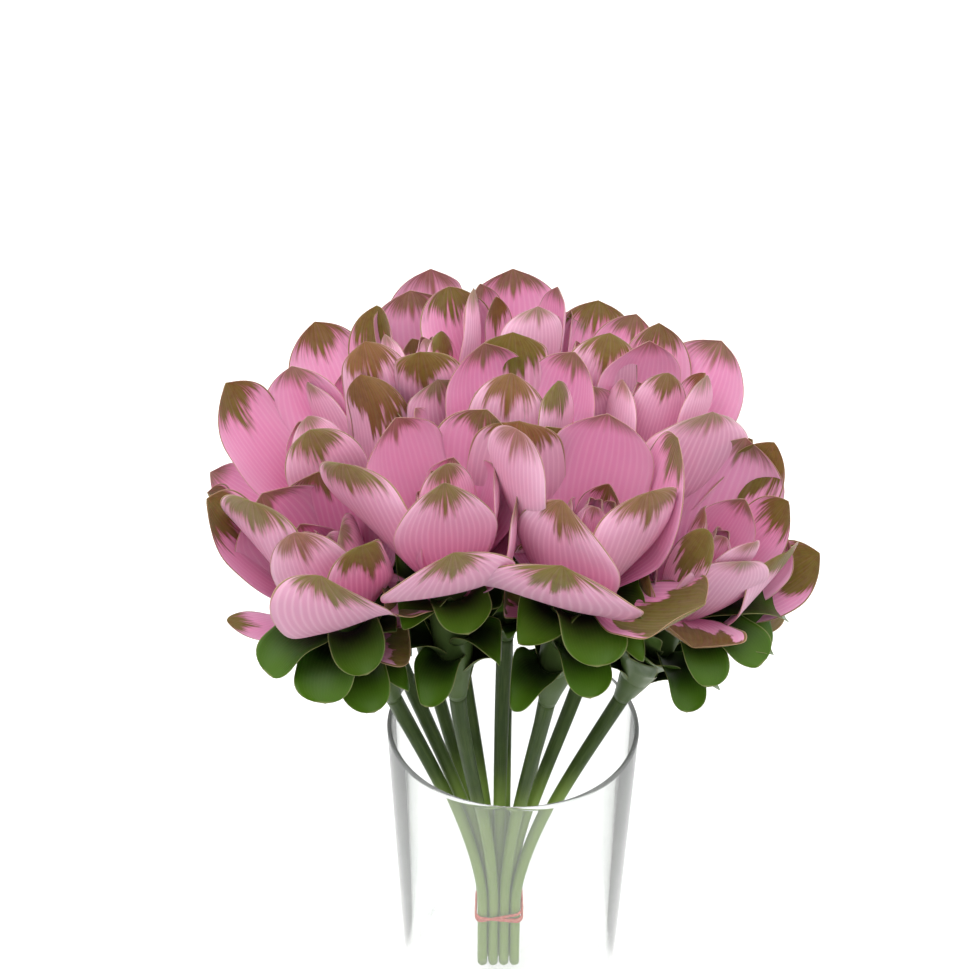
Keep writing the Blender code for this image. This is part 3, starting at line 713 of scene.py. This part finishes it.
bractValues = {
    "steps": 160,  # that the midrib is summed from
    "crowding": 1.45,  # above 1, rows lie closer together at the tip
    "rootOpening": 0.6,  # how much of the extra opening the root takes
    "rootShare": 0.24, "widest": 0.6, "rise": 1.15,
    "endFrom": 0.72,  # where the hook and the hood start
    "beakWidth": 2.2,
    "waveShift": 0.23,  # of each margin's waves, one forward and one back
    "thickness": 0.45, "marginThinning": 0.55, "rootThickness": 1.25, "tipThickness": 0.5,
}


def drawLuck(index, number, extras):
    # the small seeded differences between one bract and the next, and what its table sets
    dice = np.random.default_rng([41, index, number])
    luck = {"waves": dice.uniform(1.0, 2.2), "phase": dice.uniform(0, 1),
            "wavy": dice.uniform(0.4, 1.4), "roll": dice.uniform(-5, 5),
            "hook": 8 + dice.uniform(-6, 8), "flare": dice.uniform(0.0, 0.06),
            "swerve": dice.uniform(-4, 4), "tone": dice.uniform(0, 1)}
    for extra in extras:
        luck.update(extra)
    return luck


def bractSheet(tier, spec, form, luck):
    # A bract's middle surface over s along it and t across it. The midrib starts at the root,
    # leans from lean to tip over its length, hooks a little at its end, and is summed from
    # small steps. The width rises as a sine to the widest place and closes as a blunt arc.
    # Across, the section is an arc, hollow towards the axis, with waved margins, rolled a
    # little about the midrib. A skew lifts one side along the midrib and lowers the other.
    turn, opening, long, wide = spec
    v = bractValues
    x = np.linspace(0, 1, form["rows"])
    s = (1 - (1 - x) ** v["crowding"])[:, None]
    t = np.linspace(-1, 1, form["columns"])[None, :]
    fine = np.linspace(0, 1, v["steps"] + 1)
    lean = math.radians(tier["lean"] + v["rootOpening"] * opening)
    tip = math.radians(tier["tip"] + opening + luck.get("tip", 0))
    angle = lean + (tip - lean) * fine ** luck.get("bend", tier.get("bend", 1.0))
    angle = angle - math.radians(luck["hook"]) * smooth(v["endFrom"], 1.0, fine)
    step = tier["length"] * long / v["steps"]
    mid = (angle[1:] + angle[:-1]) / 2
    radial = np.concatenate([[0], np.cumsum(np.sin(mid)) * step]) + tier["root"]
    height = np.concatenate([[0], np.cumsum(np.cos(mid)) * step])
    height = height + tier["height"] + luck.get("height", 0)
    radial, height = np.interp(s, fine, radial), np.interp(s, fine, height)
    angle = np.interp(s, fine, angle)
    widest = luck.get("widest", v["widest"])
    rise = np.sin(math.pi / 2 * np.clip(s / widest, 0, 1)) ** v["rise"]
    close = np.clip((s - widest) / (1 - widest), 0, 1)
    point, blunt = luck.get("point", form["point"]), luck.get("blunt", form["blunt"])
    rootShare = tier.get("rootShare", v["rootShare"])
    half = (rootShare + (1 - rootShare) * rise) * (1 - close ** point) ** blunt
    half = tier["half"] * wide * np.maximum(half, 0.002)
    hood = form["hood"] * smooth(v["endFrom"], 1.0, s)
    rootArc, tipArc = luck.get("arc", tier["arc"]), luck.get("tipArc", tier["tipArc"])
    span = np.radians(rootArc + (tipArc - rootArc) * s + hood)
    side = half * np.sin(span * t) / span
    up = half * (1 - np.cos(span * t)) / span
    ripple = np.sin(2 * math.pi * (luck["waves"] * s + luck["phase"] + v["waveShift"] * np.sign(t)))
    up = up + form["wave"] * luck["wavy"] * half * np.abs(t) ** 2.5 * ripple * smooth(0.1, 0.5, s)
    up = up - luck["flare"] * half * smooth(0.65, 1.0, np.abs(t)) * np.sin(math.pi * s)
    roll = math.radians(luck["roll"]) * s
    side, up = side * np.cos(roll) - up * np.sin(roll), side * np.sin(roll) + up * np.cos(roll)
    beak = form["beak"] * np.exp(-(side / v["beakWidth"]) ** 2) * smooth(0.86, 1.0, s)
    beak = beak + math.tan(math.radians(luck.get("skew", 0))) * side * s
    out = radial - np.cos(angle) * up + np.sin(angle) * beak
    high = height + np.sin(angle) * up + np.cos(angle) * beak
    around = math.radians(turn) + math.radians(luck["swerve"]) * s ** 2
    place = [out * np.cos(around) - side * np.sin(around),
             out * np.sin(around) + side * np.cos(around), high + 0 * t]
    return np.stack(place, axis=-1), s + 0 * t, t + 0 * s


def gridFaces(rows, columns):
    # quads between the neighbouring points of a grid
    i, j = np.meshgrid(np.arange(rows - 1), np.arange(columns - 1), indexing="ij")
    a = (i * columns + j).ravel()
    return np.column_stack([a, a + columns, a + columns + 1, a + 1])


def bladeFaces(rows, columns):
    # quads of a closed blade: its two faces and the rim between them
    count = rows * columns
    front = gridFaces(rows, columns)
    back = front[:, [0, 3, 2, 1]] + count
    edge = np.concatenate([np.arange(columns), np.arange(1, rows) * columns + columns - 1,
                           (rows - 1) * columns + np.arange(columns - 2, -1, -1),
                           np.arange(rows - 2, 0, -1) * columns])
    after = np.roll(edge, -1)
    rim = np.column_stack([edge, after, after + count, edge + count])
    return np.concatenate([front, back, rim])


def bladePoints(sheet, s, t):
    # both faces of a blade, half a thickness each way along the sheet's normal; it thins
    # with the cube of the way to the margin, and evenly from the root to the tip
    v = bractValues
    normal = np.cross(np.gradient(sheet, axis=0), np.gradient(sheet, axis=1))
    normal = normal / np.maximum(np.linalg.norm(normal, axis=-1, keepdims=True), 1e-9)
    normal[-1] = normal[-2]
    along = v["rootThickness"] - (v["rootThickness"] - v["tipThickness"]) * s
    thick = v["thickness"] * (1 - v["marginThinning"] * np.abs(t) ** 3) * along
    lift = normal * thick[..., None] / 2
    return np.concatenate([(sheet + lift).reshape(-1, 3), (sheet - lift).reshape(-1, 3)])


class BractHeap:
    # grows one bloom's bracts of one form and gathers them into one mesh
    def __init__(self, form, place, planes):
        self.form, self.place, self.planes = bractForms[form], place, planes
        self.points, self.faces, self.uv = [], [], []
        self.marks = {"stain": [], "tone": [], "inside": []}
        self.count = 0

    def grow(self, index, number, tier, spec, stain, extras):
        # a free bract isn't pressed
        luck = drawLuck(index, number, extras)
        sheet, s, t = bractSheet(tiers[tier], spec, self.form, luck)
        sheet = toWorld(sheet, self.place)
        if not luck.get("free"):
            sheet = press(sheet, self.place, self.planes, self.form["inset"])
        self.add(sheet, s, t, stain, luck["tone"])

    def add(self, sheet, s, t, stain, tone):
        rows, columns = s.shape
        size = rows * columns
        self.points.append(bladePoints(sheet, s, t))
        self.faces.append(bladeFaces(rows, columns) + self.count)
        self.uv += [np.column_stack([(t.ravel() + 1) / 2, s.ravel()])] * 2
        self.marks["stain"].append(np.full(2 * size, stain))
        self.marks["tone"].append(np.full(2 * size, tone))
        self.marks["inside"].append(np.repeat([1.0, 0.0], size))
        self.count += 2 * size

    def piece(self, name, material, slot, node):
        marks = {key: np.concatenate(value) for key, value in self.marks.items()}
        makePiece(name, np.concatenate(self.points), np.concatenate(self.faces), material,
                  node, np.concatenate(self.uv), marks)


def buildCrown(index, bloom, place, planes, material):
    # the pink bracts of a bloom's table, and three more as its bud
    heap = BractHeap("pink", place, planes)
    bracts = bloom["bracts"] + [("bud", 20 + 120 * k, 0, 1.0, 1.0, 0.4) for k in range(3)]
    for number, (tier, turn, opening, long, wide, stain, *extras) in enumerate(bracts):
        heap.grow(index, number, tier, (turn, opening, long, wide), stain, extras)
    heap.piece(f"pinkBracts_{index + 1:02d}", material, "crown_pink", f"crown_{index + 1:02d}")


# rounds of green bracts from the stem up: tier, how many, and the first one's turn past
# the bloom's own greenTurn
greenRounds = [("low", 3, 0), ("middle", 4, 50), ("top", 5, 15), ("brim", 6, 50),
               ("collar", 6, 20)]


def greenSpecs(index, bloom):
    # a bloom's own lips, and even rounds of them at its back, or all round where it has none
    specs = list(bloom.get("greens", []))
    for tier, count, shift in greenRounds:
        dice = np.random.default_rng([7, index, count, shift])
        for k in range(count):
            turn = (bloom["greenTurn"] + shift + 360.0 * k / count + dice.uniform(-9, 9)) % 360
            if not ("greens" in bloom and 170 < turn < 355):
                specs.append((tier, turn, dice.uniform(-7, 7), dice.uniform(0.92, 1.1), 1.0))
    return specs


def buildCup(index, bloom, place, planes, material):
    heap = BractHeap("lip", place, planes)
    for number, (tier, turn, opening, long, wide, *extras) in enumerate(greenSpecs(index, bloom)):
        heap.grow(index, 100 + number, tier, (turn, opening, long, wide), 0.0, extras)
    heap.add(*cupCore(place), 0.0, 0.0)
    heap.piece(f"greenBracts_{index + 1:02d}", material, "cup_green", f"cup_{index + 1:02d}")


coreValues = {"height": [0.0, 6.0, 14.0, 24.0, 38.0, 50.0, 58.0],
              "radius": [3.1, 4.0, 5.6, 6.6, 6.8, 6.0, 3.0], "rows": 24, "sides": 28}


def cupCore(place):
    # the fused bases of the bracts: a turned profile, radius over height
    high = np.linspace(0, coreValues["height"][-1], coreValues["rows"])[:, None]
    turn = np.linspace(-math.pi, math.pi, coreValues["sides"] + 1)[None, :]
    radius = np.interp(high, coreValues["height"], coreValues["radius"])
    sheet = np.stack([radius * np.cos(turn), radius * np.sin(turn), high + 0 * turn], axis=-1)
    return toWorld(sheet, place), high / 60 * 0.5 + 0 * turn, turn / math.pi * 0.5 + 0 * high


# stems

stemPath = {
    "floor": 10.5, "gap": 0.3, "lowRadius": 2.3, "topRadius": 3.1, "spacing": 4.95,
    "bunchX": -5.0, "bunchY": 0.0, "bandHeight": 41.0, "straight": 5.0, "bendShare": 0.3,
    "lowRings": 10, "bendRings": 60, "sides": 20, "ridges": 5, "ridgeDepth": 0.02,
    "capShare": 0.85,
    "places": [(-0.5, -1), (0.5, -1), (1.5, -1), (-1.5, -1), (1.0, 0), (0.0, 0), (-1.0, 0),
               (1.5, 1), (0.5, 1), (-0.5, 1), (-1.5, 1)],  # column and row in the tied bunch
}


def buildStem(index, place, material):
    # a faintly ridged tube along a smooth curve: straight through the band, then a cubic bend
    # to the bloom's foot, its radius growing evenly with the height above the band
    v = stemPath
    foot, _, _, axis = place
    column, row = v["places"][index]
    x = v["bunchX"] + column * v["spacing"]
    y = v["bunchY"] + row * v["spacing"] * math.sqrt(3) / 2
    low = np.array([x, y, v["floor"] + v["gap"]])
    tied = np.array([x, y, v["bandHeight"] + v["straight"]])
    top = foot - axis * v["gap"]
    handle = np.linalg.norm(top - tied) * v["bendShare"]
    a, b = tied + np.array([0, 0, handle]), top - axis * handle
    s = np.linspace(0, 1, v["bendRings"])[:, None]
    curve = (1 - s) ** 3 * tied + 3 * (1 - s) ** 2 * s * a + 3 * (1 - s) * s ** 2 * b + s ** 3 * top
    lower = low + (tied - low) * np.linspace(0, 1, v["lowRings"] + 1)[:-1, None]
    path = np.vstack([lower, curve])
    tangent = unit(np.gradient(path, axis=0))
    side = unit(np.cross(tangent, (0.0, 1.0, 0.0)))
    back = np.cross(tangent, side)
    share = np.clip((path[:, 2] - v["bandHeight"]) / (path[-1, 2] - v["bandHeight"]), 0, 1)
    radius = v["lowRadius"] + (v["topRadius"] - v["lowRadius"]) * share
    turn = np.linspace(0, 2 * math.pi, v["sides"] + 1)
    ridge = 1 + v["ridgeDepth"] * np.cos(v["ridges"] * turn)[None, :]
    around = radius[:, None] * ridge
    sheet = path[:, None] + around[..., None] * (np.cos(turn)[None, :, None] * side[:, None]
                                                 + np.sin(turn)[None, :, None] * back[:, None])
    # end caps close the tube: the rim drawn in to the middle of the cut
    ends = [path[0] + (sheet[0] - path[0]) * k for k in (0.0, v["capShare"])]
    tops = [path[-1] + (sheet[-1] - path[-1]) * k for k in (v["capShare"], 0.0)]
    sheet = np.concatenate([np.stack(ends), sheet, np.stack(tops)])
    rows, columns = sheet.shape[:2]
    along = np.repeat(np.linspace(0, 1, rows), columns)
    across = np.tile(np.linspace(0, 1, columns), rows)
    makePiece(f"flowerStem_{index + 1:02d}", sheet.reshape(-1, 3), gridFaces(rows, columns),
              material, f"stem_{index + 1:02d}", np.column_stack([across, along]))


# vase and band

vaseShape = {"rimRadius": 50.0, "footRadius": 47.5, "height": 150.0, "wall": 2.0, "floor": 10.5,
             "heel": 2.0, "inner": 5.0, "sides": 160}


def turnedPiece(profile, sides):
    # a profile of radius and height turned once round the upright axis, its ends on the axis
    profile = np.array(profile)
    turn = np.linspace(0, 2 * math.pi, sides, endpoint=False)
    body = profile[1:-1]
    rings = np.stack([body[:, :1] * np.cos(turn), body[:, :1] * np.sin(turn),
                      body[:, 1:] + 0 * turn], axis=-1).reshape(-1, 3)
    points = np.vstack([[0, 0, profile[0, 1]], [0, 0, profile[-1, 1]], rings])
    j = np.arange(sides)
    k = (j + 1) % sides
    faces = []
    for i in range(len(body) - 1):
        low, high = 2 + i * sides, 2 + (i + 1) * sides
        faces.append(np.column_stack([low + j, low + k, high + k, high + j]))
    quads = np.concatenate(faces)
    last = 2 + (len(body) - 1) * sides
    bottom = np.column_stack([0 * j, 2 + k, 2 + j])
    top = np.column_stack([0 * j + 1, last + j, last + k])
    return points, quads, np.concatenate([bottom, top])


def arc(radial, height, radius, first, last, count):
    # points on an arc of the profile, between two angles in half turns
    turn = np.linspace(first * math.pi, last * math.pi, count)
    return np.column_stack([radial + radius * np.cos(turn), height + radius * np.sin(turn)])


def buildVase(material):
    # one profile: out under the foot, up the wall, over the lip, down inside and in to the axis
    v = vaseShape
    edge, heel, inner = v["wall"] / 2, v["heel"], v["inner"]
    profile = np.vstack([
        [0, 0],
        arc(v["footRadius"] - heel, heel, heel, -0.5, 0, 7),
        arc(v["rimRadius"] - edge, v["height"] - edge, edge, 0, 1, 13),
        arc(v["footRadius"] - v["wall"] - inner, v["floor"] + inner, inner, 0, -0.5, 11),
        [0, v["floor"]]])
    points, quads, caps = turnedPiece(profile, v["sides"])
    mesh = bpy.data.meshes.new("glassVase")
    mesh.from_pydata((points * mm).tolist(), [], quads.tolist() + caps.tolist())
    mesh.update()
    mesh.shade_smooth()
    mesh.materials.append(material)
    piece = addObject("glassVase", mesh)
    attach(piece, "root")
    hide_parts("vase")


bandShape = {
    "radius": 0.55,  # of the rubber, in mm
    "loops": [(13.0, 10.0, 1.0), (-9.0, 30.0, -1.2), (4.0, 130.0, 0.1)],  # tilt, way it faces, lift
    "steps": 120, "sides": 10,
}


def buildBand(material):
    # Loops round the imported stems. The outline is, for each direction, the reach of the stem
    # centres that way, plus the stem and half the rubber, with its slope along the tangent.
    v, b = bandShape, stemPath
    centres = np.array([(c * b["spacing"], r * b["spacing"] * math.sqrt(3) / 2)
                        for c, r in b["places"]])
    turn = np.linspace(0, 2 * math.pi, v["steps"], endpoint=False)
    way = np.stack([np.cos(turn), np.sin(turn)], axis=1)
    support = (centres @ way.T).max(axis=0) + b["lowRadius"] + b["gap"] + v["radius"]
    slope = (np.roll(support, -1) - np.roll(support, 1)) / (2 * (turn[1] - turn[0]))
    flat = way * support[:, None] + np.stack([-way[:, 1], way[:, 0]], axis=1) * slope[:, None]
    around = np.linspace(0, 2 * math.pi, v["sides"], endpoint=False)
    outward = np.column_stack([way, 0 * turn])[:, None]
    upward = np.array([0, 0, 1.0])
    ring = np.cos(around)[None, :, None] * outward + np.sin(around)[None, :, None] * upward
    i, j = np.meshgrid(np.arange(v["steps"]), np.arange(v["sides"]), indexing="ij")
    after, over = (i + 1) % v["steps"], (j + 1) % v["sides"]
    quads = np.stack([i * v["sides"] + j, after * v["sides"] + j, after * v["sides"] + over,
                      i * v["sides"] + over], axis=-1).reshape(-1, 4)
    points, faces = [], []
    for number, (tilt, facing, lift) in enumerate(v["loops"]):
        facing = math.radians(facing)
        rise = math.tan(math.radians(tilt)) * (flat @ (math.cos(facing), math.sin(facing)))
        path = np.column_stack([flat[:, 0] + b["bunchX"], flat[:, 1] + b["bunchY"],
                                b["bandHeight"] + lift + rise])
        points.append((path[:, None] + v["radius"] * ring).reshape(-1, 3))
        faces.append(number * v["steps"] * v["sides"] + quads)
    makePiece("rubberLoops", np.concatenate(points), np.concatenate(faces), material,
              "rubber_band")


# putting it together

buildCamera()
buildStudio()
print("studio ready")
veins = buildVeinGroup()
clouds = buildCloudGroup()
pink = buildPink(veins, clouds)
green = buildGreen(veins, clouds)
stemGreen = buildStemGreen(clouds)
print("materials ready")
places = [bloomFrame(bloom) for bloom in blooms]
for index, bloom in enumerate(blooms):
    planes = partingPlanes(index, places)
    buildStem(index, places[index], stemGreen)
    buildCup(index, bloom, places[index], planes, green)
    buildCrown(index, bloom, places[index], planes, pink)
print("blooms ready")
buildVase(buildGlass(clouds))
buildBand(buildRubber(clouds))
print("vase and band ready")
